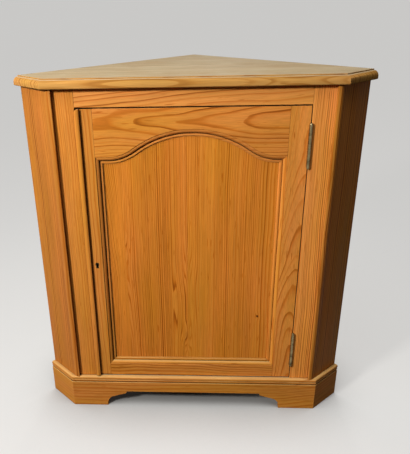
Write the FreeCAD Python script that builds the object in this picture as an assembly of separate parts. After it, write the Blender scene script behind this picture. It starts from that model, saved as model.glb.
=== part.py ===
import FreeCAD, Part
import math
import os

# Corner cupboard in waxed pine: a carcass that fills a room corner, a plinth with bracket feet,
# a face frame between two canted returns, and one framed door with an arched panel.
# Millimetres. The plan is drawn with the face frame's front at y = 0, the room corner towards +Y
# and the floor at z = 0. Finished pieces move back so that the origin is under the middle of the box.

# Carcass
height = 900.0
return_width = 100.6        # each canted return, square to its wall
return_thick = 20.0
lip_thick = 9.0             # front lip of a return, beside the face frame
lip_ease = 4.0              # small round on the lip's inner edge
lip_sweep = 15.0            # long round from the lip's nose to the return's face
lip_proud = 10.5            # how far the rounded lip stands in front of the face frame
back_thick = 12.0
back_lip = 8.0              # part of the return that covers the ends of the back boards
back_boards = 3             # boards in each back
back_joint = 0.4            # shrinkage gap between back boards
back_bevel = 2.0            # small bevel along each joint of the back boards
post_leg = 40.0             # corner post, along each back

# Top board and its moulded edge
top_thick = 22.0
top_overhang = 20.0
side_overhang = 17.0        # over the returns
nose_height = 6.5           # lower part of the edge, below the large round
nose_ease = 3.0             # small round at the underside
round_width = 12.5          # rounded part, seen from above
quirk_depth = 2.5           # step between the round and the flat

# Plinth and bracket feet
plinth_height = 97.0
plinth_proud = 11.0
plinth_thick = 20.0
carcass_foot = 60.0         # the carcass stands in a rebate of the plinth at this height
face_chamfer = 1.0
bead_height = 7.5
bead_gap = 1.2              # upright of the grooves above and below the bead
bead_quirk = 2.8            # depth of these grooves
bead_swell = 2.6            # how far the bead swells out between them
ledge_drop = 7.0            # front edge of the ledge, above the bead
ledge_round = 4.0
arch_height = 48.5
foot_width = 148.0          # bracket foot, from its corner to the flat top of the arch
arch_round_width = 6.0
arch_round_height = 7.5
foot_slope_width = 34.5
foot_slope_height = 10.5
foot_cove_width = 14.5
glue_block = 45.0

# Face frame
frame_thick = 22.0
opening_half = 268.0        # half of the door opening
frame_stile_width = 67.0    # from the opening to the return
top_rail_height = 43.0
tenon_length = 25.0
tenon_thick = 8.0
tenon_shoulder = 6.0        # shoulder above and below each tenon
tenon_gap = 1.0             # room at the bottom of each mortise

# Inside boards and their cleats
board_thick = 18.0
shelf_top = 490.0
shelf_front = 40.0          # shelf edge behind the face frame's front
shelf_gap = 0.6
cleat = 18.0
cleat_end_gap = 3.0
rest_length = 45.0          # short cleats on the returns
stop_size = 12.0
stop_height = 90.0
stop_bottom = 560.0
stop_lap = 10.0             # how far the stop reaches into the opening

# Door
door_thick = 21.5
lock_gap = 2.5
hinge_gap = 1.8
top_gap = 3.0
bottom_gap = 3.0
lock_stile_width = 37.0
hinge_stile_width = 46.0
bottom_rail_height = 36.5
top_rail_depth = 112.0      # door top rail beside the stiles
crown_rise = 64.0           # from the shoulders to the crown of the arch
flat_shoulder = 19.85       # straight part of the arch beside the hinge stile
crown_share = 0.7           # part of the arch that is its crown, the rest is the shoulders
groove_depth = 8.0
panel_recess = 10.0
panel_thick = 8.0
panel_gap = 1.0             # room for the panel to swell in its groove
moulding_step = 2.0         # the moulding's front edge lies this far behind the frame
ovolo_width = 9.0           # rounded part beside the frame
ovolo_drop = 5.0
groove_width = 2.0          # narrow groove between the ovolo and the fillet
groove_drop = 1.6
fillet_width = 4.4
fillet_rise = 0.8           # the fillet stands this far in front of the ovolo's end
panel_foot = 2.6            # last small step onto the panel
panel_foot_thick = 1.2
bead_strip_width = 11.5     # closing bead on the lock edge
bead_strip_overlap = 4.0    # it covers the gap and reaches over the frame
bead_strip_lift = 0.4       # clear of the frame's face
bead_strip_proud = 8.5
bead_strip_side = 4.5
bead_strip_end = 7.0
bead_strip_crown = 6.0      # from the bead's outer side to its highest line
bead_strip_round = 9.0      # rounded upper end

# Hinges
hinge_length = 100.0
hinge_inset = 40.0          # from the ends of the door
knuckle_radius = 3.5
knuckles = 5
knuckle_gap = 0.3           # along the pin
swing_clearance = 0.35      # between a leaf and the other leaf's knuckles
leaf_thick = 1.6
leaf_gap = 0.2              # between the closed leaves
leaf_depth = 18.0
pin_radius = 2.0
pin_clearance = 0.05
pin_head = 2.5
pin_tip = 3.0
face_clearance = 0.4        # between a knuckle and the wood behind it

# Screws
screw_head = 3.0
screw_radius = 1.5
screw_length = 14.0
screw_clearance = 0.1
hinge_screws = 3            # in each leaf
top_screw_inset = 130.0     # from the ends of a top cleat
offset_tolerance = 0.01

# Lock
key_height = 442.0
backset = 22.0
lock_wood = 1.5             # wood between the lock and the panel's groove
lock_thick = 12.0
lock_below = 28.0           # lock case below and above the keyhole's centre
lock_above = 32.0
lock_wall = 1.5
faceplate_thick = 2.0
faceplate_width = 15.0
faceplate_height = 92.0
bolt_thick = 6.0
bolt_height = 14.0
bolt_rise = 10.0            # bolt above the keyhole's centre
bolt_end_gap = 2.0          # room behind the drawn bolt
bolt_clearance = 0.3
bolt_throw = 8.0
keyhole_radius = 3.9
keyhole_slot = 4.6
keyhole_drop = 10.0         # foot of the keyhole below the centre of its round
lining_wall = 0.9
strike_thick = 1.5
strike_height = 56.0
strike_clearance = 0.6

V = FreeCAD.Vector
upright = V(0, 0, 1)
diagonal = math.sqrt(0.5)
mitre_slope = math.tan(math.radians(22.5))   # mitre where the front meets a return

face_half = opening_half + frame_stile_width
wall_leg = face_half / diagonal + return_width   # length of each back along its wall
carcass_depth = (wall_leg + return_width) * diagonal
middle_y = (carcass_depth - top_overhang) / 2
under_top = height - top_thick
far = 2 * wall_leg          # longer than any board, for cutting tools

rail_bottom = under_top - top_rail_height
door_left = lock_gap - opening_half
door_right = opening_half - hinge_gap
door_bottom = plinth_height + bottom_gap
door_top = rail_bottom - top_gap
door_mid = (door_left + door_right) / 2
sight_left = door_left + lock_stile_width
sight_right = door_right - hinge_stile_width
sight_mid = (sight_left + sight_right) / 2
sight_bottom = door_bottom + bottom_rail_height
moulding_width = ovolo_width + groove_width + fillet_width + panel_foot
shoulder_z = door_top - top_rail_depth   # underside of the top rail beside the stiles
crown_z = shoulder_z + crown_rise
arch_reach = sight_right - flat_shoulder - door_mid   # from the middle to where the curve meets the flat
arch_angle = 2 * math.atan2(crown_rise, arch_reach)
crown_radius = crown_share * arch_reach / math.sin(arch_angle)
shoulder_radius = (1 - crown_share) * arch_reach / math.sin(arch_angle)

hinge_x = opening_half - hinge_gap / 2
hinge_y = -(knuckle_radius + face_clearance)
hinge_bottoms = {
    "lower": door_bottom + hinge_inset,
    "upper": door_top - hinge_inset - hinge_length,
}

key_x = door_left + backset
lock_depth = lock_stile_width - groove_depth - lock_wood - faceplate_thick
bolt_length = faceplate_thick + lock_depth - lock_wall - bolt_end_gap
lock_y = (door_thick - lock_thick) / 2
bolt_y = (door_thick - bolt_thick) / 2
bolt_z = key_height + bolt_rise


def plan(x, y):
    return V(x, y, 0)


def front(x, z):
    return V(x, 0, z)


def section(n, z):
    # n runs outwards from the face frame's front
    return V(0, -n, z)


def closed_face(steps, place):
    # A step is an end point, or a pair of a point on an arc and the arc's end.
    edges = []
    here = steps[0]
    for step in steps[1:] + steps[:1]:
        if isinstance(step[0], tuple):
            on_arc, end = step
            edges.append(Part.Arc(place(*here), place(*on_arc), place(*end)).toShape())
        else:
            end = step
            edges.append(Part.LineSegment(place(*here), place(*end)).toShape())
        here = end
    return Part.Face(Part.Wire(edges))


def prism(steps, bottom, top):
    face = closed_face(steps, plan)
    face.translate(V(0, 0, bottom))
    return face.extrude(V(0, 0, top - bottom))


def plate(steps, near, back):
    face = closed_face(steps, front)
    face.translate(V(0, near, 0))
    return face.extrude(V(0, back - near, 0))


def block(x0, x1, y0, y1, z0, z1):
    return Part.makeBox(x1 - x0, y1 - y0, z1 - z0, V(x0, y0, z0))


def mirrored(shape, middle=0.0):
    return shape.mirror(V(middle, 0, 0), V(1, 0, 0))


def canted(u, n):
    # Plan point beside the right return: u along it from the face frame, n outwards from its face.
    return (face_half + (u + n) * diagonal, (u - n) * diagonal)


def turned(shape):
    # From along the front to along the right return.
    copy = shape.copy()
    copy.rotate(V(face_half, 0, 0), upright, 45)
    return copy


def save(name, shape):
    shape = shape.copy()
    shape.translate(V(0, -middle_y, 0))
    shape.exportStep("parts/" + name + ".step")
    print(name, len(shape.Solids), shape.isValid(), round(shape.Volume))


# Carcass


def top_board():
    corner = (face_half + side_overhang / diagonal - top_overhang, -top_overhang)
    end = canted(return_width, side_overhang)
    outline = [(-corner[0], corner[1]), corner, end, (0.0, carcass_depth), (-end[0], end[1])]
    board = prism(outline, under_top, height)
    nose_z = under_top + nose_height
    round_n = top_overhang - round_width
    round_height = top_thick - nose_height - quirk_depth
    on_round = (round_n + round_width * diagonal, nose_z + round_height * diagonal)
    ease_n = top_overhang - nose_ease
    on_ease = (ease_n + nose_ease * diagonal, under_top + nose_ease * (1 - diagonal))
    outside = top_overhang + round_width
    waste = [
        (ease_n, under_top),
        (on_ease, (top_overhang, under_top + nose_ease)),
        (top_overhang, nose_z),
        (on_round, (round_n, height - quirk_depth)),
        (round_n, height + quirk_depth),
        (outside, height + quirk_depth),
        (outside, under_top - nose_ease),
        (ease_n, under_top - nose_ease),
    ]
    cutter = closed_face(waste, section).extrude(V(2 * far, 0, 0))
    cutter.translate(V(-far, 0, 0))
    board = board.cut(cutter)
    cutter.translate(V(0, top_overhang - side_overhang, 0))
    board = board.cut(turned(cutter))
    return board.cut(mirrored(turned(cutter)))


def right_return():
    sweep_n = lip_thick - lip_ease
    nose_u = math.hypot(lip_sweep, sweep_n) - lip_sweep - sweep_n - lip_proud / diagonal
    slack = 1 - diagonal
    on_ease = canted(nose_u + lip_ease * slack, -sweep_n - lip_ease * diagonal)
    frame_u = frame_thick / diagonal
    back_u = return_width - back_thick
    outline = [
        canted(nose_u + lip_sweep, 0),
        (canted(nose_u + lip_sweep * slack, -sweep_n * slack), canted(nose_u, -sweep_n)),
        (on_ease, canted(nose_u + lip_ease, -lip_thick)),
        canted(frame_u - lip_thick, -lip_thick),
        canted(frame_u - return_thick, -return_thick),
        canted(back_u, -return_thick),
        canted(back_u, -back_lip),
        canted(return_width, -back_lip),
        canted(return_width, 0),
    ]
    board = prism(outline, carcass_foot, under_top)
    behind_plinth = block(0, far, -far, 0, carcass_foot, plinth_height)
    return board.cut(behind_plinth)


def right_back_boards():
    # Board 1 is beside the return, the last is mitred at the room corner.
    boards = []
    inner = return_width - back_thick
    width = (wall_leg - back_lip) / back_boards
    for number in range(back_boards):
        near = -back_lip - number * width
        far_n = near - width + back_joint
        bevel = back_bevel
        if number == back_boards - 1:
            outline = [
                canted(inner, near - bevel),
                canted(inner + bevel, near),
                canted(return_width, near),
                canted(return_width, -wall_leg),
                canted(inner, -wall_leg + back_thick),
            ]
        else:
            outline = [
                canted(inner, near - bevel),
                canted(inner + bevel, near),
                canted(return_width, near),
                canted(return_width, far_n),
                canted(inner + bevel, far_n),
                canted(inner, far_n + bevel),
            ]
        boards.append(prism(outline, carcass_foot, under_top))
    return boards


def post_corner():
    return carcass_depth - back_thick / diagonal


def post_front():
    return post_corner() - post_leg * diagonal


def corner_post():
    side = post_leg * diagonal
    outline = [(0.0, post_corner()), (-side, post_front()), (side, post_front())]
    return prism(outline, 0, under_top)


def inside_board(front_y, gap, bottom):
    # Board between the returns and the backs, cut short at the corner post.
    side_n = -return_thick - gap
    back_u = return_width - back_thick - gap
    post_y = post_front() - gap
    right = [
        canted(front_y / diagonal + side_n, side_n),
        canted(back_u, side_n),
        canted(back_u, back_u - post_y / diagonal),
    ]
    left = [(-x, y) for x, y in reversed(right)]
    return prism(right + left, bottom, bottom + board_thick)


def back_cleat_ends():
    return (-return_thick - cleat_end_gap, -wall_leg + back_thick + post_leg + cleat_end_gap)


def back_cleat(top):
    wall_u = return_width - back_thick
    near, end = back_cleat_ends()
    outline = [
        canted(wall_u, near),
        canted(wall_u, end),
        canted(wall_u - cleat, end),
        canted(wall_u - cleat, near),
    ]
    return prism(outline, top - cleat, top)


def return_cleat(top):
    end = return_width - back_thick - cleat - cleat_end_gap
    near = end - rest_length
    side = -return_thick
    outline = [
        canted(near, side),
        canted(end, side),
        canted(end, side - cleat),
        canted(near, side - cleat),
    ]
    return prism(outline, top - cleat, top)


def top_screws():
    # Two screws up through each top cleat into the top board.
    screws = []
    near, end = back_cleat_ends()
    for n in (near - top_screw_inset, end + top_screw_inset):
        x, y = canted(return_width - back_thick - cleat / 2, n)
        screws.append(screw(V(x, y, under_top - cleat), upright, cleat + screw_length))
    return Part.makeCompound(screws + [mirrored(s) for s in screws])


def top_screw_holes():
    return screw_holes(top_screws())


# Screws


def screw(seat, direction, length):
    # Countersunk screw: seat is the centre of its flat head, direction points into the wood.
    cone = screw_head - screw_radius
    head = Part.makeCone(screw_head, screw_radius, cone, seat, direction)
    shank = Part.makeCylinder(screw_radius, length, seat, direction)
    return head.fuse(shank).removeSplitter()


def hinge_screw_places(bottom):
    step = hinge_length / hinge_screws
    return [bottom + (number + 0.5) * step for number in range(hinge_screws)]


# Plinth


def plinth_profile():
    ledge_foot = plinth_height - ledge_drop
    bead_top = ledge_foot - bead_gap
    bead_bottom = bead_top - bead_height
    face_top = bead_bottom - bead_gap
    groove = plinth_proud - bead_quirk
    inside = plinth_proud - plinth_thick
    on_ledge = (plinth_proud - ledge_round * (1 - diagonal), plinth_height - ledge_round * (1 - diagonal))
    return [
        (plinth_proud, 0.0),
        (plinth_proud, face_top - face_chamfer),
        (plinth_proud - face_chamfer, face_top),
        (groove, face_top),
        (groove, bead_bottom),
        ((groove + bead_swell, (bead_bottom + bead_top) / 2), (groove, bead_top)),
        (groove, ledge_foot),
        (plinth_proud, ledge_foot),
        (plinth_proud, plinth_height - ledge_round),
        (on_ledge, (plinth_proud - ledge_round, plinth_height)),
        (0.0, plinth_height),
        (0.0, carcass_foot),
        (inside, carcass_foot),
        (inside, 0.0),
    ]


def plinth_bar():
    bar = closed_face(plinth_profile(), section).extrude(V(2 * far, 0, 0))
    bar.translate(V(-far, 0, 0))
    return bar


def foot_gap():
    # The space between the feet: a flat arch with an ovolo and a cove at each side.
    arch_half = face_half - foot_width
    step_x = arch_half + arch_round_width
    step_z = arch_height - arch_round_height
    knee_x = step_x + foot_slope_width
    knee_z = step_z - foot_slope_height
    foot_x = knee_x + foot_cove_width
    on_round = (step_x - arch_round_width * diagonal, arch_height - arch_round_height * diagonal)
    on_cove = (knee_x + foot_cove_width * diagonal, knee_z * diagonal)
    outline = [
        (-foot_x, 0.0),
        ((-on_cove[0], on_cove[1]), (-knee_x, knee_z)),
        (-step_x, step_z),
        ((-on_round[0], on_round[1]), (-arch_half, arch_height)),
        (arch_half, arch_height),
        (on_round, (step_x, step_z)),
        (knee_x, knee_z),
        (on_cove, (foot_x, 0.0)),
    ]
    return plate(outline, -far, far)


def plinth_front():
    reach = plinth_proud + plinth_thick
    slant = reach * mitre_slope
    between_mitres = [
        (-face_half - slant, -reach),
        (face_half + slant, -reach),
        (face_half - slant, reach),
        (slant - face_half, reach),
    ]
    return plinth_bar().common(prism(between_mitres, 0, plinth_height)).cut(foot_gap())


def right_plinth():
    reach = plinth_proud + plinth_thick
    slant = reach * mitre_slope
    wall_end = face_half + return_width
    from_mitre = [
        (face_half - slant, -reach),
        (wall_end, -reach),
        (wall_end, reach),
        (face_half + slant, reach),
    ]
    return turned(plinth_bar().common(prism(from_mitre, 0, plinth_height)))


def right_plinth_block():
    inside = plinth_thick - plinth_proud
    corner = (face_half - inside * mitre_slope, inside)
    along_front = (corner[0] - glue_block, inside)
    along_return = (corner[0] + glue_block * diagonal, inside + glue_block * diagonal)
    return prism([corner, along_return, along_front], 0, carcass_foot)


# Face frame


def tenons(left, right, bottom, top, length, near):
    # The tenons at a rail's two ends.
    low = bottom + tenon_shoulder
    high = top - tenon_shoulder
    back = near + tenon_thick
    ends = ((left - length, left), (right, right + length))
    return [block(x0, x1, near, back, low, high) for x0, x1 in ends]


def frame_rail(bottom, top):
    near = (frame_thick - tenon_thick) / 2
    rail = block(-opening_half, opening_half, 0, frame_thick, bottom, top)
    ends = tenons(-opening_half, opening_half, bottom, top, tenon_length, near)
    return rail.fuse(ends).removeSplitter()


def frame_stile():
    lip_x = face_half - lip_thick / diagonal
    outline = [
        (opening_half, 0.0),
        (lip_x, 0.0),
        (lip_x + frame_thick, frame_thick),
        (opening_half, frame_thick),
    ]
    stile = prism(outline, carcass_foot, under_top)
    near = (frame_thick - tenon_thick) / 2
    for bottom, top in ((rail_bottom, under_top), (carcass_foot, plinth_height)):
        mortises = tenons(-opening_half, opening_half, bottom, top, tenon_length + tenon_gap, near)
        stile = stile.cut(mortises)
    return stile


def right_stile():
    stile = frame_stile()
    for bottom in hinge_bottoms.values():
        stile = stile.cut(leaf_plate(bottom, 1))
    return stile.cut(screw_holes(frame_leaf_screws()))


def left_stile():
    stile = mirrored(frame_stile())
    stile = stile.cut(strike_plate_blank())
    stile = stile.cut(bolt_pocket())
    return stile.cut(screw_holes(strike_screws()))


def closing_stop():
    left = -opening_half - stop_size
    right = stop_lap - opening_half
    back = frame_thick + stop_size
    return block(left, right, frame_thick, back, stop_bottom, stop_bottom + stop_height)


# Door


def arch_outline(offset, left, right, bottom):
    # The space under the arched rail, grown by offset, from left to right and from bottom up.
    crown_r = crown_radius + offset
    shoulder_r = shoulder_radius - offset
    crown_centre = crown_z - crown_radius
    shoulder_centre = shoulder_z + shoulder_radius
    half = arch_angle / 2

    def on_crown(angle):
        return (door_mid + crown_r * math.sin(angle), crown_centre + crown_r * math.cos(angle))

    def on_shoulder(sign, angle):
        x = door_mid + sign * (arch_reach - shoulder_r * math.sin(angle))
        return (x, shoulder_centre - shoulder_r * math.cos(angle))

    flat = shoulder_z + offset
    return [
        (left, bottom),
        (right, bottom),
        (right, flat),
        (door_mid + arch_reach, flat),
        (on_shoulder(1, half), on_shoulder(1, arch_angle)),
        (on_crown(0), on_crown(-arch_angle)),
        (on_shoulder(-1, half), (door_mid - arch_reach, flat)),
        (left, flat),
    ]


def panel_shape(reach):
    return plate(
        arch_outline(reach, sight_left - reach, sight_right + reach, sight_bottom - reach),
        panel_recess,
        panel_recess + panel_thick,
    )


def door_panel():
    return panel_shape(groove_depth - panel_gap)


def door_tenons(bottom, top, length):
    return tenons(sight_left, sight_right, bottom, top, length, panel_recess)


def top_tenon_span():
    return (shoulder_z + groove_depth, door_top)


def bottom_tenon_span():
    return (door_bottom, sight_bottom - groove_depth)


def door_stile(left, right):
    stile = block(left, right, 0, door_thick, door_bottom, door_top)
    stile = stile.cut(panel_shape(groove_depth))
    for bottom, top in (top_tenon_span(), bottom_tenon_span()):
        stile = stile.cut(door_tenons(bottom, top, tenon_length + tenon_gap))
    return stile


def door_hinge_stile():
    stile = door_stile(sight_right, door_right)
    for bottom in hinge_bottoms.values():
        stile = stile.cut(leaf_plate(bottom, -1))
    return stile.cut(screw_holes(door_leaf_screws()))


def door_lock_stile():
    stile = door_stile(door_left, sight_left)
    stile = stile.cut(lock_blank())
    stile = stile.cut(faceplate_blank())
    stile = stile.cut(keyhole(keyhole_radius + lining_wall, -door_thick, lock_y))
    return stile.cut(screw_holes(lock_screws()))


def door_top_rail():
    rail = block(sight_left, sight_right, 0, door_thick, shoulder_z, door_top)
    rail = rail.cut(plate(arch_outline(0, -far, far, door_bottom), -far, far))
    rail = rail.cut(panel_shape(groove_depth))
    return rail.fuse(door_tenons(*top_tenon_span(), tenon_length)).removeSplitter()


def door_bottom_rail():
    rail = block(sight_left, sight_right, 0, door_thick, door_bottom, sight_bottom)
    rail = rail.cut(panel_shape(groove_depth))
    return rail.fuse(door_tenons(*bottom_tenon_span(), tenon_length)).removeSplitter()


def moulding_profile(place):
    # Across the moulding from the frame to the panel: an ovolo, a narrow groove, a fillet and a small foot.
    ovolo_end = moulding_step + ovolo_drop
    groove_end = ovolo_width + groove_width
    fillet_y = ovolo_end - fillet_rise
    fillet_end = groove_end + fillet_width
    foot_y = panel_recess - panel_foot_thick
    steps = [
        (0.0, panel_recess),
        (0.0, moulding_step),
        ((ovolo_width * diagonal, ovolo_end - ovolo_drop * diagonal), (ovolo_width, ovolo_end)),
        (ovolo_width, ovolo_end + groove_drop),
        (groove_end, ovolo_end + groove_drop),
        (groove_end, fillet_y),
        (fillet_end, fillet_y),
        (fillet_end, foot_y),
        (moulding_width, foot_y),
        (moulding_width, panel_recess),
    ]
    return closed_face(steps, place)


def right_moulding():
    bar = moulding_profile(lambda w, y: V(sight_right - w, y, 0)).extrude(V(0, 0, height))
    between_mitres = [
        (sight_right, sight_bottom),
        (sight_right, shoulder_z),
        (sight_right - moulding_width, shoulder_z - moulding_width),
        (sight_right - moulding_width, sight_bottom + moulding_width),
    ]
    return bar.common(plate(between_mitres, 0, door_thick))


def bottom_moulding():
    bar = moulding_profile(lambda w, y: V(sight_left, y, sight_bottom + w))
    bar = bar.extrude(V(sight_right - sight_left, 0, 0))
    between_mitres = [
        (sight_left, sight_bottom),
        (sight_right, sight_bottom),
        (sight_right - moulding_width, sight_bottom + moulding_width),
        (sight_left + moulding_width, sight_bottom + moulding_width),
    ]
    return bar.common(plate(between_mitres, 0, door_thick))


def arch_moulding():
    degrees = math.degrees(arch_angle)
    across = V(0, 1, 0)
    crown = moulding_profile(lambda w, y: V(door_mid, y, crown_z - w))
    crown.rotate(V(door_mid, 0, crown_z - crown_radius), across, -degrees)
    crown = crown.revolve(V(door_mid, 0, crown_z - crown_radius), across, 2 * degrees)
    reach = door_mid + arch_reach
    shoulder = moulding_profile(lambda w, y: V(reach, y, shoulder_z - w))
    bend = shoulder.revolve(V(reach, 0, shoulder_z + shoulder_radius), across, degrees)
    right_flat = shoulder.extrude(V(sight_right - reach, 0, 0))
    left_shoulder = mirrored(shoulder, door_mid)
    left_flat = left_shoulder.extrude(V(sight_left - door_mid + arch_reach, 0, 0))
    sides = [bend, right_flat, mirrored(bend, door_mid), left_flat]
    arch = crown.fuse(sides).removeSplitter()
    above_mitres = [
        (sight_left, shoulder_z),
        (sight_left + moulding_width, shoulder_z - moulding_width),
        (sight_right - moulding_width, shoulder_z - moulding_width),
        (sight_right, shoulder_z),
        (sight_right, height),
        (sight_left, height),
    ]
    return arch.common(plate(above_mitres, 0, door_thick))


def closing_bead():
    left = door_left - bead_strip_overlap
    right = left + bead_strip_width
    on_round = (left + bead_strip_crown, -bead_strip_proud)
    outline = [
        (door_left, 0.0),
        (door_left, -bead_strip_lift),
        (left, -bead_strip_lift),
        (left, -bead_strip_side),
        (on_round, (right, -bead_strip_end)),
        (right, 0.0),
    ]
    bar = prism(outline, door_bottom, door_top)
    turn = bead_strip_round
    inset = turn * (1 - diagonal)
    on_turn = (left + inset, door_top - inset)
    shape = [
        (left, door_bottom),
        (right, door_bottom),
        (right, door_top),
        (left + turn, door_top),
        (on_turn, (left, door_top - turn)),
    ]
    return bar.common(plate(shape, -far, far))


# Hinges


def leaf_plate(bottom, side):
    # Flat of a leaf, without its knuckles: side 1 is the frame's leaf, -1 the door's.
    near_x = hinge_x + side * leaf_gap / 2
    far_x = near_x + side * leaf_thick
    left, right = sorted((near_x, far_x))
    return block(left, right, hinge_y, leaf_depth, bottom, bottom + hinge_length)


def hinge_cylinder(radius, bottom, length):
    return Part.makeCylinder(radius, length, V(hinge_x, hinge_y, bottom), upright)


def hinge_leaf(bottom, side):
    # Odd knuckles belong to the frame's leaf, even ones to the door's.
    leaf = leaf_plate(bottom, side)
    step = hinge_length / knuckles
    own_turn = 0 if side > 0 else 1
    for number in range(knuckles):
        low = bottom + number * step
        if number % 2 == own_turn:
            end_gap = 0 if number in (0, knuckles - 1) else knuckle_gap / 2
            leaf = leaf.fuse(hinge_cylinder(knuckle_radius, low + end_gap, step - 2 * end_gap))
        else:
            room_radius = knuckle_radius + swing_clearance
            room = hinge_cylinder(room_radius, low - knuckle_gap / 2, step + knuckle_gap)
            leaf = leaf.cut(room)
    leaf = leaf.removeSplitter()
    leaf = leaf.cut(hinge_cylinder(pin_radius + pin_clearance, bottom, hinge_length))
    screws = frame_leaf_screws() if side > 0 else door_leaf_screws()
    return leaf.cut(screw_holes(screws))


def hinge_pin(bottom):
    pin = hinge_cylinder(pin_radius, bottom, hinge_length)
    for end, way in ((bottom, -1), (bottom + hinge_length, 1)):
        tip = Part.makeCone(pin_tip, pin_radius, pin_head, V(hinge_x, hinge_y, end), V(0, 0, way))
        pin = pin.fuse(tip)
    return pin.removeSplitter()


def leaf_screws(side):
    places = []
    for bottom in hinge_bottoms.values():
        for z in hinge_screw_places(bottom):
            places.append(V(hinge_x + side * leaf_gap / 2, leaf_depth / 2, z))
    return Part.makeCompound([screw(p, V(side, 0, 0), screw_length) for p in places])


def frame_leaf_screws():
    return leaf_screws(1)


def door_leaf_screws():
    return leaf_screws(-1)


def screw_holes(screws):
    # The same screws, grown all round by the clearance.
    return Part.makeCompound([s.makeOffsetShape(screw_clearance, offset_tolerance) for s in screws.Solids])


# Lock


def keyhole(radius, near, back):
    grow = radius - keyhole_radius
    slot = keyhole_slot / 2 + grow
    round_part = Part.makeCylinder(radius, back - near, V(key_x, near, key_height), V(0, 1, 0))
    foot = key_height - keyhole_drop - grow
    slot_part = block(key_x - slot, key_x + slot, near, back, foot, key_height)
    return round_part.fuse(slot_part).removeSplitter()


def keyhole_lining():
    outer = keyhole(keyhole_radius + lining_wall, 0, lock_y)
    return outer.cut(keyhole(keyhole_radius, -door_thick, door_thick))


def lock_blank():
    left = door_left + faceplate_thick
    low = key_height - lock_below
    return block(left, left + lock_depth, lock_y, lock_y + lock_thick, low, key_height + lock_above)


def lock_case():
    left = door_left
    right = door_left + faceplate_thick + lock_depth - lock_wall
    near = lock_y + lock_wall
    back = lock_y + lock_thick - lock_wall
    bottom = key_height - lock_below + lock_wall
    top = key_height + lock_above - lock_wall
    case = lock_blank().cut(block(left, right, near, back, bottom, top))
    return case.cut(keyhole(keyhole_radius, 0, near))


def faceplate_bottom():
    return key_height + (lock_above - lock_below - faceplate_height) / 2


def faceplate_blank():
    near = (door_thick - faceplate_width) / 2
    right = door_left + faceplate_thick
    low = faceplate_bottom()
    return block(door_left, right, near, near + faceplate_width, low, low + faceplate_height)


def bolt_room(left, right, clearance):
    near = bolt_y - clearance
    back = bolt_y + bolt_thick + clearance
    low = bolt_z - clearance
    return block(left, right, near, back, low, bolt_z + bolt_height + clearance)


def lock_faceplate():
    plate_solid = faceplate_blank().cut(bolt_room(door_left - far, door_left + far, bolt_clearance))
    return plate_solid.cut(screw_holes(lock_screws()))


def lock_bolt():
    return bolt_room(door_left, door_left + bolt_length, 0)


def end_screw_heights(low, high, inset):
    return (low + inset, high - inset)


def lock_screws():
    low = faceplate_bottom()
    inset = (faceplate_height - lock_below - lock_above) / 4
    heights = end_screw_heights(low, low + faceplate_height, inset)
    seats = [V(door_left, door_thick / 2, z) for z in heights]
    return Part.makeCompound([screw(seat, V(1, 0, 0), screw_length) for seat in seats])


def strike_plate_blank():
    low = bolt_z + (bolt_height - strike_height) / 2
    near = (door_thick - faceplate_width) / 2
    left = -opening_half - strike_thick
    return block(left, -opening_half, near, near + faceplate_width, low, low + strike_height)


def bolt_pocket():
    depth = bolt_throw - lock_gap + strike_clearance
    return bolt_room(-opening_half - depth, -opening_half, strike_clearance)


def strike_plate():
    return strike_plate_blank().cut(bolt_pocket()).cut(screw_holes(strike_screws()))


def strike_screws():
    low = bolt_z + (bolt_height - strike_height) / 2
    inset = (strike_height - bolt_height) / 4
    heights = end_screw_heights(low, low + strike_height, inset)
    seats = [V(-opening_half, door_thick / 2, z) for z in heights]
    return Part.makeCompound([screw(seat, V(-1, 0, 0), screw_length) for seat in seats])


def save_pair(name, right_shape):
    save("right_" + name, right_shape)
    save("left_" + name, mirrored(right_shape))


def build_carcass():
    save("top_board", top_board().cut(top_screw_holes()))
    save_pair("return", right_return())
    for number, board in enumerate(right_back_boards(), 1):
        save_pair("back_board_" + str(number), board)
    save("corner_post", corner_post())
    save("bottom_board", inside_board(frame_thick, 0, plinth_height - board_thick))
    save("shelf", inside_board(shelf_front, shelf_gap, shelf_top - board_thick))
    save_pair("bottom_cleat", back_cleat(plinth_height - board_thick))
    save_pair("shelf_cleat", back_cleat(shelf_top - board_thick))
    save_pair("shelf_rest", return_cleat(shelf_top - board_thick))
    save("right_top_cleat", back_cleat(under_top).cut(top_screw_holes()))
    save("left_top_cleat", mirrored(back_cleat(under_top)).cut(top_screw_holes()))
    save("top_screws", top_screws())
    save("plinth_front", plinth_front())
    save_pair("plinth_side", right_plinth())
    save_pair("plinth_block", right_plinth_block())
    save("top_rail", frame_rail(rail_bottom, under_top))
    save("bottom_rail", frame_rail(carcass_foot, plinth_height))
    save("right_stile", right_stile())
    save("left_stile", left_stile())
    save("closing_stop", closing_stop())
    save("strike_plate", strike_plate())
    save("strike_screws", strike_screws())
    for name, bottom in hinge_bottoms.items():
        save(name + "_hinge_frame_leaf", hinge_leaf(bottom, 1))
        save(name + "_hinge_pin", hinge_pin(bottom))
    save("hinge_frame_screws", frame_leaf_screws())


def build_door():
    save("door_lock_stile", door_lock_stile())
    save("door_hinge_stile", door_hinge_stile())
    save("door_top_rail", door_top_rail())
    save("door_bottom_rail", door_bottom_rail())
    save("door_panel", door_panel())
    save("door_right_moulding", right_moulding())
    save("door_left_moulding", mirrored(right_moulding(), sight_mid))
    save("door_bottom_moulding", bottom_moulding())
    save("door_arch_moulding", arch_moulding())
    save("closing_bead", closing_bead())
    for name, bottom in hinge_bottoms.items():
        save(name + "_hinge_door_leaf", hinge_leaf(bottom, -1))
    save("hinge_door_screws", door_leaf_screws())
    save("lock_case", lock_case())
    save("lock_faceplate", lock_faceplate())
    save("lock_screws", lock_screws())
    save("keyhole_lining", keyhole_lining())
    save("lock_bolt", lock_bolt())


os.makedirs("parts", exist_ok=True)
build_carcass()
build_door()
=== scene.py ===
import math
import random

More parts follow.
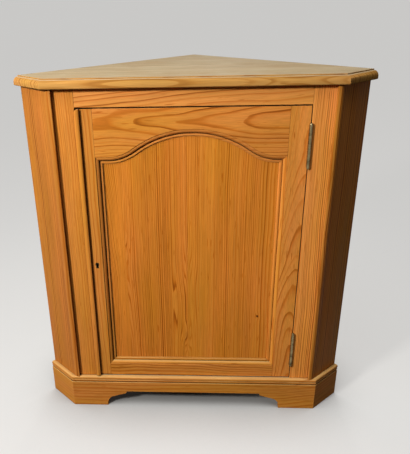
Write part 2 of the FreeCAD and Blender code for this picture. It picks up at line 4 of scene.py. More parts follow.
import bpy
import bmesh
from mathutils import Matrix, Vector


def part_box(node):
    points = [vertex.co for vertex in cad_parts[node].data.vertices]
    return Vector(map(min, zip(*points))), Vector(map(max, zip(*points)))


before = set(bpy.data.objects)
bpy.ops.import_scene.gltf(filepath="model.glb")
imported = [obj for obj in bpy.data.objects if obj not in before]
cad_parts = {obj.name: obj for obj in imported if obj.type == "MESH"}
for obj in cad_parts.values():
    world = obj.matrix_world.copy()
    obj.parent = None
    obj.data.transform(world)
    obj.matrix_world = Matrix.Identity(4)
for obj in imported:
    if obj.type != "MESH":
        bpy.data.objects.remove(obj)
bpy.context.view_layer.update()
scene = bpy.context.scene
print("frame loaded:", len(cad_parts), "nodes")


def linear(hexColour):  # sRGB hex to the linear colour that nodes take
    parts = [int(hexColour[i:i + 2], 16) / 255 for i in (1, 3, 5)]
    return tuple(c / 12.92 if c <= 0.04045 else ((c + 0.055) / 1.055) ** 2.4 for c in parts) + (1.0,)


def addNode(tree, kind, settings=None, inputs=None):  # an input is a value, a socket, or a node's first output
    node = tree.nodes.new("ShaderNode" + kind)
    for key, value in (settings or {}).items():
        setattr(node, key, value)
    for key, value in (inputs or {}).items():
        if isinstance(key, int):
            socket = node.inputs[key]
        else:
            socket = next(s for s in node.inputs if s.name == key and s.enabled)
        if isinstance(value, bpy.types.Node):
            value = next(s for s in value.outputs if s.enabled)
        if isinstance(value, bpy.types.NodeSocket):
            tree.links.new(value, socket)
        else:
            socket.default_value = value
    return node


def addRamp(tree, factor, stops, interpolation="LINEAR"):  # stops are (position, linear colour or grey)
    ramp = addNode(tree, "ValToRGB", {}, {"Fac": factor})
    ramp.color_ramp.interpolation = interpolation
    while len(ramp.color_ramp.elements) < len(stops):
        ramp.color_ramp.elements.new(1.0)
    for element, (position, colour) in zip(ramp.color_ramp.elements, stops):
        element.position = position
        element.color = colour if isinstance(colour, tuple) else (colour, colour, colour, 1.0)
    return ramp


def newMaterial(name):
    material = bpy.data.materials.new(name)
    material.use_nodes = True
    material.node_tree.nodes.clear()
    return material, material.node_tree


# settings that many nodes share
plus = {"operation": "ADD"}
minus = {"operation": "SUBTRACT"}
times = {"operation": "MULTIPLY"}
timesClamped = {"operation": "MULTIPLY", "use_clamp": True}
timesPlus = {"operation": "MULTIPLY_ADD"}
larger = {"operation": "MAXIMUM"}
scaled = {"operation": "SCALE"}
length = {"operation": "LENGTH"}
smooth = {"interpolation_type": "SMOOTHSTEP"}
colours = {"data_type": "RGBA"}
half = (0.5, 0.5, 0.5)


def seenDirectly(tree):  # 1 for rays from the camera, a mirror or glass, 0 for light that bounces
    rays = addNode(tree, "LightPath").outputs
    mirrored = addNode(tree, "Math", larger, {0: rays["Is Glossy Ray"], 1: rays["Is Transmission Ray"]})
    return addNode(tree, "Math", larger, {0: rays["Is Camera Ray"], 1: mirrored})


# Pine, planed and waxed: honey earlywood and a thin orange-brown latewood line in each year ring,
# straight lines on quartered boards and arches on flat-sawn ones, fine resin streaks, painted shade
# with old wax darkening the corners, and rubbed paler arrises; satin, so it gets broad soft highlights
waxedPine = {
    "early": "#d58a39", "middle": "#c47124", "late": "#86450e", "knot": "#4a2610",
    # dirt is the dark of painted shade, with old wax, in corners and recesses
    "shadeAndWax": "#1c0c04", "rubbed": "#dd9a4b",
    # the bleached colours pale the upward faces: sun bleaching, and painted light from above
    "bleachedAndLit": "#e2cda6", "bleachedAndLitLine": "#a98a5c", "bleachAndLightAmount": 0.9,
    "yellower": (0.95, 0.99, 0.8, 1.0), "redder": (1.05, 0.99, 1.22, 1.0),
    "roughness": (0.46, 0.6), "bump": 0.35, "shadeAndWaxAmount": 0.96, "rubAmount": 0.34,
}
# Pine, sawn and left bare inside and at the back: paler, dry and matt
plainPine = {
    "early": "#d9b27c", "middle": "#cfa368", "late": "#a9773f", "knot": "#4a2610",
    # dirt here too is the dark of painted shade, with old wax, in corners
    "shadeAndWax": "#5d4022", "rubbed": "#e2c698",
    # the bleached colours pale the upward faces: sun bleaching, and painted light from above
    "bleachedAndLit": "#d2b78c", "bleachedAndLitLine": "#a5865a", "bleachAndLightAmount": 0.4,
    "yellower": (0.98, 1.0, 0.92, 1.0), "redder": (1.02, 0.99, 1.05, 1.0),
    "roughness": (0.62, 0.78), "bump": 0.6, "shadeAndWaxAmount": 0.7, "rubAmount": 0.3,
}
# repeats in a metre (across, in depth, along the grain), shift for each unit of a board's seed,
# detail and roughness
pineNoises = {
    "wander": ((2.2, 2.2, 3.2), (7.3, 3.7, 5.9), 1.5, 0.45),
    "ripple": ((70, 70, 7), (1, 2, 3), 2.0, 0.5),
    "crooked": ((14, 14, 6), (1, 3, 5), 0.5, 0.5),
    "zones": ((26, 26, 1.1), (1, 6, 2), 2.0, 0.5),
    "fibres": ((620, 620, 16), (2, 0, 1), 3.0, 0.6),
    "streaks": ((330, 330, 22), (0, 4, 2), 1.0, 0.5),
    "bands": ((22, 22, 2.0), (5, 1, 0), 3.0, 0.55),
    "heart": ((16, 16, 2.4), (3, 2, 7), 2.0, 0.5),
}
# uneven makes some years wider, ripple shakes their lines, crooked (metres) bends the knots' outlines,
# yearTone is how dark a year is from its start to its end
pineFigure = {"unevenScale": 0.21, "uneven": 3.0, "ripple": 0.35, "crooked": 0.034,
              "yearTone": [(0.0, 0.12), (0.3, 0.05), (0.62, 0.3), (0.84, 1.0), (0.95, 0.85), (1.0, 0.12)]}
# in sizes of a knot: how far it pulls the rings, where its dark core ends, and where its rim does
knotShape = {"pull": 5, "core": 0.5, "rim": 1.25, "depth": 0.05}
# metres: width of a rubbed arris, height of the relief; lineRelief is the latewood's share in it
pineSurface = {"arris": 0.0022, "relief": 0.00025, "lineRelief": 0.6, "ior": 1.46, "sheen": 0.08,
               "patches": 9.0}

# A board is sawn from its own place in a tree. Millimetres and degrees, from the board's middle:
# pith is the tree's middle (across, behind the face, along), lean tilts it (across, towards the face),
# ring is a year's growth, bend is how far the pith wanders, sharp narrows the dark end of a year,
# contrast is the strength of the year's lines, tone makes the board lighter or darker (on a few boards
# as painted light or shade), fade is how much the light has bleached all of it, bleach how much its
# upward faces are paled, by the sun and as painted light from above, slope how level a face must be
# for that (1 is level), dull is added to its roughness, grime is how far painted shade, with old wax,
# darkens out from its corners, wax how open a corner is where that shade starts and is full,
# finish replaces colours of the pine.
# knots are (across, along, size, pull on the rings, darkness, length over width)
# strips are boards glued edge to edge: (edge, shift across, shift in depth, tone, contrast)
plainBoard = {"grain": (0, 0, 1), "face": (0, -1, 0), "pith": (90, 60, 0), "lean": (0.4, 1.2),
              "ring": 5.0, "bend": 6, "sharp": 1.0, "contrast": 0.8, "tone": 0.0, "fade": 0.0,
              "bleachAndToplight": 1.0, "slope": 0.88, "dull": 0.0, "shadeAndWaxReach": 4.5, "shadeAndWaxOpening": (0.74, 0.32),
              "finish": {}, "knots": [], "strips": [], "seed": 1}


def grainFrame(board):  # rows: across the board, out of its face, along the grain
    grain = Vector(board["grain"]).normalized()
    face = Vector(board["face"]).normalized()
    across = face.cross(grain).normalized()
    leanAcross, leanDepth = [math.radians(a) for a in board["lean"]]
    grain = (grain + math.tan(leanAcross) * across + math.tan(leanDepth) * face).normalized()
    across = face.cross(grain).normalized()
    return Matrix((across, grain.cross(across), grain))


def grainNoise(tree, vector, name, seed):
    stretch, shift, detail, roughness = pineNoises[name]
    place = tuple(seed * s for s in shift)
    stretched = addNode(tree, "Mapping", {}, {"Vector": vector, "Scale": stretch, "Location": place})
    return addNode(tree, "TexNoise", {}, {"Vector": stretched, "Scale": 1.0, "Detail": detail,
                                          "Roughness": roughness})


def gluedStrips(tree, grain, strips, pithAcross):  # shifts each strip in the tree; its tone slides it along
    slide = (1, 1, 40)
    first, last = strips[0][0], strips[-1][0]
    start = first / 1000 - pithAcross
    parted = addNode(tree, "SeparateXYZ", {}, {0: grain})
    share = addNode(tree, "MapRange", {}, {"Value": parted.outputs[0], "From Min": start,
                                           "From Max": start + (last - first) / 1000})
    stops = [((edge - first) / (last - first), (0.5 + across / 1000, 0.5 + depth / 1000, 0.5 + tone, contrast))
             for edge, across, depth, tone, contrast in strips[:-1]]
    ramp = addRamp(tree, share, stops, "CONSTANT")
    shift = addNode(tree, "VectorMath", minus, {0: ramp, 1: half})
    tone = addNode(tree, "SeparateXYZ", {}, {0: shift}).outputs[2]
    longShift = addNode(tree, "VectorMath", times, {0: shift, 1: slide})
    moved = addNode(tree, "VectorMath", plus, {0: grain, 1: longShift})
    return moved, tone, ramp.outputs["Alpha"]


def yearRings(tree, grain, board):  # counts the years from the pith outwards
    seed = board["seed"]
    wander = grainNoise(tree, grain, "wander", seed)
    wander = addNode(tree, "VectorMath", minus, {0: wander.outputs["Color"], 1: half})
    wander = addNode(tree, "VectorMath", scaled, {0: wander, "Scale": board["bend"] / 250})
    bent = addNode(tree, "VectorMath", plus, {0: grain, 1: wander})
    flat = addNode(tree, "VectorMath", times, {0: bent, 1: (1, 1, 0)})
    radius = addNode(tree, "VectorMath", length, {0: flat})
    years = addNode(tree, "Math", times, {0: radius, 1: 1000 / board["ring"]})
    uneven = addNode(tree, "TexNoise", {"noise_dimensions": "1D"},
                     {"W": years, "Scale": pineFigure["unevenScale"], "Detail": 1.0})
    years = addNode(tree, "Math", timesPlus, {0: uneven, 1: pineFigure["uneven"], 2: years})
    ripple = grainNoise(tree, grain, "ripple", seed)
    return addNode(tree, "Math", timesPlus, {0: ripple, 1: pineFigure["ripple"], 2: years})


def addKnots(tree, place, pith, board, years):  # rings pulled round each knot, and a mask of their dark cores
    crooked = grainNoise(tree, place, "crooked", board["seed"])
    crooked = addNode(tree, "VectorMath", minus, {0: crooked.outputs["Color"], 1: half})
    crooked = addNode(tree, "VectorMath", scaled, {0: crooked, "Scale": pineFigure["crooked"]})
    crooked = addNode(tree, "VectorMath", plus, {0: crooked, 1: place})
    mask = 0.0
    for across, along, size, pull, dark, stretch in board["knots"]:
        size = size / 1000
        spot = Vector((across, 0, along)) / 1000 - pith
        offset = addNode(tree, "VectorMath", minus, {0: crooked, 1: spot})
        squeezed = addNode(tree, "VectorMath", times, {0: offset, 1: (1, knotShape["depth"], 1 / stretch)})
        far = addNode(tree, "VectorMath", length, {0: squeezed})
        bulge = addNode(tree, "MapRange", {"interpolation_type": "SMOOTHERSTEP"},
                        {"Value": far, "From Max": size * knotShape["pull"], "To Min": pull, "To Max": 0.0})
        years = addNode(tree, "Math", plus, {0: years, 1: bulge})
        core = addNode(tree, "MapRange", smooth,
                       {"Value": far, "From Min": size * knotShape["core"], "From Max": size * knotShape["rim"],
                        "To Min": dark, "To Max": 0.0})
        mask = addNode(tree, "Math", larger, {0: mask, 1: core})
    return years, mask


def pineMaterial(name, node, board, finish):
    board = {**plainBoard, **board}
    finish = {**finish, **board["finish"]}
    low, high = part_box(node)
    turn = grainFrame(board)
    pith = Vector((board["pith"][0], -board["pith"][1], board["pith"][2])) / 1000
    material, tree = newMaterial(name)
    seed = board["seed"]
    coords = addNode(tree, "TexCoord").outputs["Object"]
    place = addNode(tree, "Mapping", {}, {"Vector": coords, "Rotation": turn.to_euler(),
                                          "Location": -(turn @ ((low + high) / 2)) - pith})
    grain = place
    if board["strips"]:
        grain, stripTone, stripContrast = gluedStrips(tree, place, board["strips"], pith.x)
    years = yearRings(tree, grain, board)
    years, knotMask = addKnots(tree, place, pith, board, years)

    # within a year the colour deepens slowly, then stops at a thin dark line; years differ in strength
    inYear = addNode(tree, "Math", {"operation": "FRACT"}, {0: years})
    inYear = addNode(tree, "Math", {"operation": "POWER"}, {0: inYear, 1: board["sharp"]})
    lateRamp = addRamp(tree, inYear, pineFigure["yearTone"])
    whole = addNode(tree, "Math", {"operation": "FLOOR"}, {0: years})
    yearChance = addNode(tree, "TexWhiteNoise", {"noise_dimensions": "1D"}, {"W": whole})
    strength = addNode(tree, "MapRange", {}, {"Value": yearChance, "To Min": 0.45 * board["contrast"],
                                              "To Max": 1.15 * board["contrast"]})
    zones = addNode(tree, "MapRange", {}, {"Value": grainNoise(tree, grain, "zones", seed),
                                           "From Min": 0.32, "From Max": 0.66, "To Min": 0.5, "To Max": 1.2})
    strength = addNode(tree, "Math", times, {0: strength, 1: zones})
    if board["strips"]:
        strength = addNode(tree, "Math", times, {0: strength, 1: stripContrast})
    late = addNode(tree, "Math", timesClamped, {0: lateRamp, 1: strength})

    # fibres, resin streaks and broad bands of tone
    fibres = grainNoise(tree, grain, "fibres", seed)
    bands = grainNoise(tree, grain, "bands", seed)
    streaks = addNode(tree, "MapRange", smooth, {"Value": grainNoise(tree, grain, "streaks", seed),
                                                 "From Min": 0.66, "From Max": 0.76, "To Max": 0.55})
    depth = addNode(tree, "Math", larger, {0: late, 1: streaks})
    depth = addNode(tree, "Math", larger, {0: depth, 1: knotMask})
    colour = addRamp(tree, depth, [(0.0, linear(finish["early"])), (0.4, linear(finish["middle"])),
                                   (1.0, linear(finish["late"]))])
    fineTone = addNode(tree, "MapRange", {}, {"Value": fibres, "From Min": 0.25, "From Max": 0.75,
                                              "To Min": 0.8, "To Max": 1.14})
    tone = addNode(tree, "MapRange", {}, {"Value": bands, "From Min": 0.25, "From Max": 0.75,
                                          "To Min": 0.86 + board["tone"], "To Max": 1.12 + board["tone"]})
    if board["strips"]:
        tone = addNode(tree, "Math", plus, {0: tone, 1: stripTone})
    tone = addNode(tree, "Math", times, {0: fineTone, 1: tone})
    colour = addNode(tree, "VectorMath", scaled, {0: colour, "Scale": tone})

    # heartwood is redder than sapwood, in long soft zones
    reddish = addNode(tree, "MapRange", {}, {"Value": grainNoise(tree, grain, "heart", seed),
                                             "From Min": 0.34, "From Max": 0.66})
    tint = addNode(tree, "Mix", colours, {"Factor": reddish, "A": finish["yellower"], "B": finish["redder"]})
    colour = addNode(tree, "VectorMath", times, {0: colour, 1: tint})
    colour = addNode(tree, "Mix", colours, {"Factor": knotMask, "A": colour, "B": linear(finish["knot"])})

    # faces that look up are greyer and paler, in patches: partly handled and sun-bleached, partly painted light
    # and sheen from above
    surface = addNode(tree, "NewGeometry").outputs["Normal"]
    upward = addNode(tree, "SeparateXYZ", {}, {0: surface}).outputs[2]
    patches = addNode(tree, "TexNoise", {}, {"Vector": coords, "Scale": pineSurface["patches"],
                                             "Detail": 4.0, "Roughness": 0.6})
    patchy = addNode(tree, "MapRange", {}, {"Value": patches, "From Min": 0.3, "From Max": 0.7,
                                            "To Min": 0.8, "To Max": 1.12})
    bleachAndToplight = addNode(tree, "MapRange", {}, {"Value": upward, "From Min": board["slope"], "From Max": 0.99,
                                            "To Max": finish["bleachAndLightAmount"] * board["bleachAndToplight"]})
    bleachAndToplight = addNode(tree, "Math", timesClamped, {0: bleachAndToplight, 1: patchy})
    bleachAndToplight = addNode(tree, "Math", larger, {0: bleachAndToplight, 1: board["fade"]})
    pale = addNode(tree, "Mix", colours, {"Factor": depth, "A": linear(finish["bleachedAndLit"]),
                                          "B": linear(finish["bleachedAndLitLine"])})
    pale = addNode(tree, "VectorMath", scaled, {0: pale, "Scale": fineTone})
    colour = addNode(tree, "Mix", colours, {"Factor": bleachAndToplight, "A": colour, "B": pale})

    # rubbed arrises, and painted shade with old wax darkening the corners
    eased = addNode(tree, "Bevel", {"samples": 6}, {"Radius": pineSurface["arris"]})
    turned = addNode(tree, "VectorMath", {"operation": "DOT_PRODUCT"}, {0: eased, 1: surface})
    hollow = addNode(tree, "AmbientOcclusion", {"samples": 10}, {"Distance": board["shadeAndWaxReach"] / 1000})
    hollow = hollow.outputs["AO"]
    edge = addNode(tree, "MapRange", {}, {"Value": turned, "From Min": 0.99, "From Max": 0.8,
                                          "To Max": finish["rubAmount"]})
    clear = addNode(tree, "MapRange", {}, {"Value": hollow, "From Min": 0.8, "From Max": 1.0})
    rub = addNode(tree, "Math", times, {0: edge, 1: clear})
    rub = addNode(tree, "Math", timesClamped, {0: rub, 1: patchy})
    colour = addNode(tree, "Mix", colours, {"Factor": rub, "A": colour, "B": linear(finish["rubbed"])})
    # painted shade: corners and recesses darkened by ambient occlusion, with old wax in them
    shadeAndWax = addNode(tree, "MapRange", {}, {"Value": hollow, "From Min": board["shadeAndWaxOpening"][0],
                                          "From Max": board["shadeAndWaxOpening"][1], "To Max": finish["shadeAndWaxAmount"]})
    colour = addNode(tree, "Mix", colours, {"Factor": shadeAndWax, "A": colour, "B": linear(finish["shadeAndWax"])})

    dull = addNode(tree, "MapRange", {}, {"Value": bands, "From Min": 0.3, "From Max": 0.7,
                                          "To Min": finish["roughness"][0] + board["dull"],
                                          "To Max": finish["roughness"][1] + board["dull"]})
    relief = addNode(tree, "Math", timesPlus, {0: depth, 1: pineSurface["lineRelief"], 2: fibres})
    bump = addNode(tree, "Bump", {}, {"Height": relief, "Strength": finish["bump"],
                                      "Distance": pineSurface["relief"]})
    shader = addNode(tree, "BsdfPrincipled", {}, {"Base Color": colour, "Roughness": dull, "Normal": bump,
                                                 "IOR": pineSurface["ior"],
                                                 "Specular IOR Level": pineSurface["sheen"]})
    addNode(tree, "OutputMaterial", {}, {"Surface": shader})
    return material


toLeft = (-1, -1, 0)
toRight = (1, -1, 0)
level = (1, 0, 0)
# paler colours for upward ledges: handling wear, and painted light from above
rubbedAndLitLedge = {"bleachedAndLit": "#eabd75", "bleachedAndLitLine": "#b98343"}
oldTop = {"early": "#cf9343", "middle": "#b9792a", "late": "#8a5017"}
deepPanel = {"early": "#d5852f", "middle": "#c46c1a", "late": "#864008"}
plinthWearAndToplight = {"bleachAndToplight": 0.95, "slope": 0.25, "finish": rubbedAndLitLedge}
waxedBoards = {
    "top_board": {"grain": level, "face": (0, 0, 1), "pith": (30, 90, 0), "ring": 6, "bend": 14,
                  "contrast": 0.9, "tone": -0.14, "fade": 0.06, "dull": 0.2, "finish": oldTop, "seed": 3,
                  "strips": [(-260, -40, 20, 0.0, 1.0), (-140, 60, -30, 0.03, 0.8), (-30, -90, 10, -0.02, 1.0),
                             (80, 30, 40, 0.02, 0.9), (180, -60, 0, 0.0, 1.0), (260, 0, 0, 0, 0)]},
    # left_return: its tone darkens it as painted shade against the lamp
    "left_return": {"face": toLeft, "pith": (120, 60, 0), "lean": (0.3, 0.5), "ring": 5, "bend": 5,
                    "contrast": 1.3, "tone": -0.15, "seed": 5},
    "right_return": {"face": toRight, "pith": (-120, 60, 0), "lean": (0.3, -0.6), "ring": 6, "bend": 5,
                     "contrast": 1.1, "seed": 8},
    # left_stile: its corner darkening paints the shadow of the return's lip
    "left_stile": {"pith": (120, 50, 0), "ring": 4.6, "bend": 4, "contrast": 0.7, "shadeAndWaxReach": 6,
                   "shadeAndWaxOpening": (0.84, 0.4), "seed": 11},
    # right_stile: its tone lightens it as painted light on the right-hand side
    "right_stile": {"pith": (-130, 40, 0), "lean": (0.5, 0.4), "ring": 4.6, "bend": 6, "contrast": 1.15,
                    "tone": 0.33, "fade": 0.04, "seed": 12},
    "top_rail": {"grain": level, "pith": (-90, 60, 0), "lean": (5.0, 0.4), "ring": 9.5, "bend": 5, "sharp": 1.4,
                 "contrast": 0.9, "tone": 0.2, "fade": 0.05, "seed": 13},
    "bottom_rail": {"grain": level, "pith": (50, 45, 0), "ring": 7, "seed": 14},
    "plinth_front": {"grain": level, "pith": (-90, 50, 0), "lean": (0.8, 2.4), "ring": 8, "bend": 12,
                     "contrast": 0.6, "tone": -0.02, "seed": 15, **plinthWearAndToplight},
    "left_plinth_side": {"grain": (1, -1, 0), "face": toLeft, "pith": (60, 60, 0), "ring": 7,
                         "contrast": 0.5, "seed": 16, **plinthWearAndToplight},
    "right_plinth_side": {"grain": (1, 1, 0), "face": toRight, "pith": (-60, 60, 0), "ring": 7,
                          "contrast": 0.5, "seed": 17, **plinthWearAndToplight},
    # door_lock_stile: its strong corner darkening paints the closing bead's shadow
    "door_lock_stile": {"pith": (-80, 50, 0), "lean": (0.3, 0.6), "ring": 6, "bend": 6, "contrast": 0.55,
                        "tone": -0.03, "bleachAndToplight": 0.2, "shadeAndWaxReach": 9, "shadeAndWaxOpening": (0.95, 0.55), "seed": 18},
    # door_hinge_stile: its tone lightens it as painted light on the right-hand side
    "door_hinge_stile": {"pith": (-24, 60, 0), "lean": (0.2, -4.6), "ring": 4.4, "bend": 13, "sharp": 1.4,
                         "contrast": 0.7, "tone": 0.12, "bleachAndToplight": 0.2, "seed": 19},
    "door_top_rail": {"grain": level, "pith": (25, 64, 0), "lean": (0.6, 2.2), "ring": 5.5, "bend": 12,
                      "sharp": 1.4, "contrast": 0.8, "tone": 0.02, "bleachAndToplight": 0.2, "seed": 21,
                      "knots": [(24, -80, 5.0, -0.8, 0.0, 5.0)]},
    "door_bottom_rail": {"grain": level, "pith": (60, 50, 0), "lean": (0.6, 2.4), "ring": 6, "bend": 10,
                         "contrast": 0.9, "bleachAndToplight": 0.3, "finish": rubbedAndLitLedge, "seed": 22},
    "door_panel": {"pith": (0, 60, 0), "lean": (0.2, 0.3), "ring": 3.6, "bend": 3, "sharp": 1.1,
                   "contrast": 1.05, "tone": 0.03, "finish": deepPanel, "seed": 23,
                   "strips": [(-230, 230, 10, 0.0, 0.75), (-107, -170, 20, 0.02, 0.65),
                              (6, 190, -10, -0.01, 1.0), (164, -250, 0, -0.02, 0.95), (230, 0, 0, 0, 0)],
                   "knots": [(-168, -175, 3.0, 0.4, 0.85, 1.3), (10, -140, 8.0, 2.6, 0.0, 5.5),
                             (9, -236, 4.0, 1.3, 0.12, 3.2), (240, -100, 22.0, -12.0, 0.0, 5.0)]},
    # the left moulding is darkened by tone and corner darkening as painted shade, the right one lightened as
    # painted light
    "door_left_moulding": {"pith": (70, 40, 0), "bend": 4, "contrast": 0.5, "tone": -0.2, "bleachAndToplight": 0.3,
                           "finish": rubbedAndLitLedge, "shadeAndWaxReach": 12, "shadeAndWaxOpening": (0.97, 0.55), "seed": 24},
    "door_right_moulding": {"pith": (-70, 40, 0), "bend": 4, "contrast": 0.5, "tone": 0.22, "bleachAndToplight": 0.3,
                            "finish": rubbedAndLitLedge, "shadeAndWaxReach": 3, "shadeAndWaxOpening": (0.45, 0.15), "seed": 25},
    "door_bottom_moulding": {"grain": level, "pith": (70, 40, 0), "bend": 4, "contrast": 0.5, "tone": 0.12,
                             "bleachAndToplight": 0.9, "slope": 0.25, "finish": rubbedAndLitLedge, "shadeAndWaxReach": 7, "seed": 26},
    "door_arch_moulding": {"grain": level, "pith": (90, 40, 0), "ring": 6, "bend": 4, "contrast": 0.5,
                           "bleachAndToplight": 0.3, "finish": rubbedAndLitLedge, "shadeAndWaxReach": 9, "seed": 27},
    # closing_bead: its corner darkening paints its own shadow side
    "closing_bead": {"pith": (60, 30, 0), "ring": 4, "bend": 3, "contrast": 0.5, "bleachAndToplight": 0.5, "shadeAndWaxReach": 9,
                     "shadeAndWaxOpening": (0.9, 0.48), "seed": 28},
}
chance = random.Random(4)


def plainPineBoard(node):  # bare boards differ only by chance, and by the way they run
    side = -1 if node.startswith("left") else 1
    board = {"pith": (chance.uniform(-120, 120), chance.uniform(25, 90), chance.uniform(-300, 300)),
             "lean": (chance.uniform(-1, 1), chance.uniform(-2.5, 2.5)), "ring": chance.uniform(4.5, 7.5),
             "bend": chance.uniform(8, 18), "contrast": chance.uniform(0.7, 1.0),
             "tone": chance.uniform(-0.05, 0.04), "seed": chance.uniform(30, 90)}
    if "back_board" in node:
        board["face"] = (side, 1, 0)
        board["knots"] = [(chance.uniform(-60, 60), chance.uniform(-330, 330), chance.uniform(5, 10),
                           1.2, 0.85, 1.5) for i in range(2)]
    elif "cleat" in node:
        board.update({"grain": (1, -side, 0), "face": (side, 1, 0)})
    elif "rest" in node:
        board.update({"grain": (side, 1, 0), "face": (-side, 1, 0)})
    elif node in ("bottom_board", "shelf"):
        board.update({"grain": level, "face": (0, 0, 1), "bend": 14,
                      "strips": [(-260, -40, 20, 0.0, 1.0), (-120, 70, -30, 0.03, 0.8),
                                 (0, -90, 10, -0.03, 1.0), (120, 40, 30, 0.02, 0.9), (260, 0, 0, 0, 0)]})
    return board


# Yellow brass, drawn and left unlacquered: dull olive-brown tarnish, bright only where it is rubbed
agedBrass = {"metal": "#a79a72", "tarnish": "#4f432b", "roughness": (0.26, 0.46), "patch": 14}
# The same brass in the keyhole, blackened by old wax and dust, with a few worn glints
blackenedBrass = {"metal": "#5e5033", "tarnish": "#1c150c", "roughness": (0.35, 0.55), "patch": 6}
# Mild steel, turned and oiled: grey with brown specks
dullSteel = {"metal": "#a3a19b", "tarnish": "#5d564c", "roughness": (0.3, 0.5), "patch": 9}
# speck is in millimetres, as patch is; reach, how far tarnish comes out of corners, and relief in metres
metalSurface = {"speck": 1.2, "reach": 0.006, "bump": 0.15, "relief": 0.0001}


def metalMaterial(name, finish):
    material, tree = newMaterial(name)
    coords = addNode(tree, "TexCoord").outputs["Object"]
    patch = addNode(tree, "TexNoise", {}, {"Vector": coords, "Scale": 1000 / finish["patch"],
                                           "Detail": 5.0, "Roughness": 0.65})
    speck = addNode(tree, "TexNoise", {}, {"Vector": coords, "Scale": 1000 / metalSurface["speck"],
                                           "Detail": 2.0})
    hollow = addNode(tree, "AmbientOcclusion", {"samples": 8}, {"Distance": metalSurface["reach"]})
    hollow = hollow.outputs["AO"]
    dark = addNode(tree, "MapRange", {}, {"Value": patch, "From Min": 0.35, "From Max": 0.68})
    corner = addNode(tree, "MapRange", {}, {"Value": hollow, "From Min": 0.85, "From Max": 0.3, "To Max": 0.9})
    share = addNode(tree, "Math", larger, {0: dark, 1: corner})
    colour = addNode(tree, "Mix", colours, {"Factor": share, "A": linear(finish["metal"]),
                                            "B": linear(finish["tarnish"])})
    dull = addNode(tree, "MapRange", {}, {"Value": share, "To Min": finish["roughness"][0],
                                          "To Max": finish["roughness"][1]})
    bump = addNode(tree, "Bump", {}, {"Height": speck, "Strength": metalSurface["bump"],
                                      "Distance": metalSurface["relief"]})
    shader = addNode(tree, "BsdfPrincipled", {}, {"Base Color": colour, "Metallic": 1.0, "Roughness": dull,
                                                 "Normal": bump})
    addNode(tree, "OutputMaterial", {}, {"Surface": shader})
    return material


brass = metalMaterial("agedBrass", agedBrass)
keyholeBrass = metalMaterial("blackenedBrass", blackenedBrass)
steel = metalMaterial("dullSteel", dullSteel)
steelNodes = ("lock_case", "lock_bolt")  # and all screws
brassNodes = ("lock_faceplate", "strike_plate")  # and the hinges
easing = {"wood": 0.0009, "metal": 0.0002, "segments": 2, "angle": 38, "weld": 0.00001}  # metres and degrees

for nodeName in sorted(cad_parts):
    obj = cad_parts[nodeName]
    kind = "metal"
    if "screw" in nodeName or nodeName in steelNodes:
        material = steel
    elif nodeName == "keyhole_lining":
        material = keyholeBrass
    elif ("hinge" in nodeName and nodeName != "door_hinge_stile") or nodeName in brassNodes:
        material = brass
    elif nodeName in waxedBoards:
        kind = "wood"
        material = pineMaterial("waxedPine_" + nodeName, nodeName, waxedBoards[nodeName], waxedPine)
    else:
        kind = "wood"
        material = pineMaterial("plainPine_" + nodeName, nodeName, plainPineBoard(nodeName), plainPine)
    obj.data.materials.clear()
    obj.data.materials.append(material)
    weld = obj.modifiers.new("weld", "WELD")
    weld.merge_threshold = easing["weld"]
    ease = obj.modifiers.new("ease", "BEVEL")
    ease.width = easing[kind]
    ease.segments = easing["segments"]
    ease.limit_method = "ANGLE"
    ease.angle_limit = math.radians(easing["angle"])
    flats = obj.modifiers.new("flats", "WEIGHTED_NORMAL")  # keeps wide faces flat beside eased arrises
    flats.weight = 100
print("materials set:", len(bpy.data.materials))

# bounce is the colour whose light the object gets; shade (metres) is how far a painted shadow reaches out from
# under the object, and open how free of it the floor is where the glow starts and is full
floor = {"half": 120.0, "pale": "#8d8b87", "bounce": "#3f3c38", "haze": "#f4f3f1", "glow": 0.62,
         "shade": 0.3, "open": (0.25, 0.9), "roughness": 0.9}
floorMesh = bmesh.new()
bmesh.ops.create_grid(floorMesh, x_segments=1, y_segments=1, size=floor["half"])
floorData = bpy.data.meshes.new("floor")
floorMesh.to_mesh(floorData)
floorMesh.free()
floorObject = bpy.data.objects.new("floor", floorData)
scene.collection.objects.link(floorObject)
# Painted studio floor: pale and matt, so it runs into the backdrop and throws little colour on the object
floorPaint, floorTree = newMaterial("paleFloor")
floorSeen = seenDirectly(floorTree)
floorColour = addNode(floorTree, "Mix", colours, {"Factor": floorSeen, "A": linear(floor["bounce"]),
                                                  "B": linear(floor["pale"])})
# painted shadow: the floor's glow fades out under and around the object, by ambient occlusion
openFloor = addNode(floorTree, "AmbientOcclusion", {"samples": 16}, {"Distance": floor["shade"]}).outputs["AO"]
openFloor = addNode(floorTree, "MapRange", {}, {"Value": openFloor, "From Min": floor["open"][0],
                                                "From Max": floor["open"][1], "To Max": floor["glow"]})
glow = addNode(floorTree, "Math", times, {0: floorSeen, 1: openFloor})
floorShader = addNode(floorTree, "BsdfPrincipled", {}, {"Base Color": floorColour,
                                                       "Roughness": floor["roughness"],
                                                       "Specular IOR Level": 0.0,
                                                       "Emission Color": linear(floor["haze"]),
                                                       "Emission Strength": glow})
addNode(floorTree, "OutputMaterial", {}, {"Surface": floorShader})
floorData.materials.append(floorPaint)

# backdrop is the world's strength as the camera sees it
world = {"colour": "#f4f3f1", "strength": 0.1, "backdrop": 0.646}
sky = bpy.data.worlds.new("studio")
scene.world = sky
sky.use_nodes = True
skySeen = seenDirectly(sky.node_tree)
skyLevel = addNode(sky.node_tree, "MapRange", {}, {"Value": skySeen, "To Min": world["strength"],
                                                   "To Max": world["backdrop"]})
background = sky.node_tree.nodes["Background"]
background.inputs["Color"].default_value = linear(world["colour"])
sky.node_tree.links.new(skyLevel.outputs[0], background.inputs["Strength"])

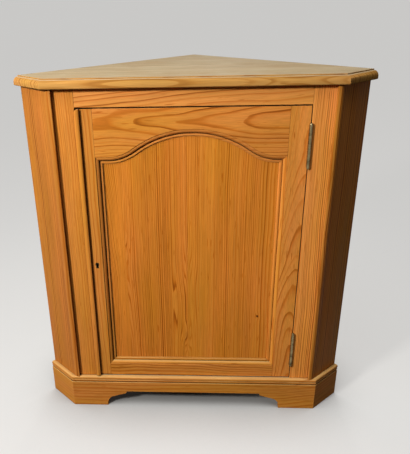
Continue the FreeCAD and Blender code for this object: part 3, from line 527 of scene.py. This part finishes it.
lamps = {  # metres, watts and degrees
    "key": {"place": (-1.45, -1.8, 1.65), "size": 0.28, "power": 25, "spread": 120},
    "above": {"place": (-0.5, -1.25, 2.9), "size": 1.6, "power": 26, "spread": 180},
    "behind": {"place": (0.2, 3.4, 0.75), "size": 0.6, "power": 6, "spread": 50},
}
lampAim = Vector((0, 0, 0.6))
for lampName, lamp in lamps.items():
    light = bpy.data.lights.new(lampName, "AREA")
    light.size = lamp["size"]
    light.energy = lamp["power"]
    light.spread = math.radians(lamp["spread"])
    lampObject = bpy.data.objects.new(lampName, light)
    lampObject.location = lamp["place"]
    lampObject.rotation_euler = (lampAim - Vector(lamp["place"])).to_track_quat("-Z", "Y").to_euler()
    scene.collection.objects.link(lampObject)
print("stage and light set")

# the photograph's viewing angle, in degrees; focal length and optical middle in its 410 x 454 pixels
viewpoint = {"place": (0.0150, -1.5492, 1.0647), "yaw": 4.012, "pitch": 25.923, "roll": -1.549,
             "focal": 573.95, "middle": (162, 272), "frame": (410, 454)}
turned = Matrix.Rotation(math.radians(viewpoint["yaw"]), 3, "Z")
pitch = math.radians(viewpoint["pitch"])
roll = math.radians(viewpoint["roll"])
ahead = turned @ Vector((0, math.cos(pitch), -math.sin(pitch)))
side = turned @ Vector((1, 0, 0))
up = side.cross(ahead)
sideways = math.cos(roll) * side + math.sin(roll) * up
upright = math.cos(roll) * up - math.sin(roll) * side
facing = Matrix((sideways, upright, -ahead)).transposed().to_4x4()
cameraData = bpy.data.cameras.new("camera")
longSide = max(viewpoint["frame"])
cameraData.lens = viewpoint["focal"] / longSide * cameraData.sensor_width
cameraData.shift_x = (viewpoint["frame"][0] / 2 - viewpoint["middle"][0]) / longSide
cameraData.shift_y = (viewpoint["middle"][1] - viewpoint["frame"][1] / 2) / longSide
cameraObject = bpy.data.objects.new("camera", cameraData)
cameraObject.matrix_world = Matrix.Translation(viewpoint["place"]) @ facing
scene.collection.objects.link(cameraObject)
scene.camera = cameraObject
scene.view_settings.view_transform = "Standard"
print("camera set")
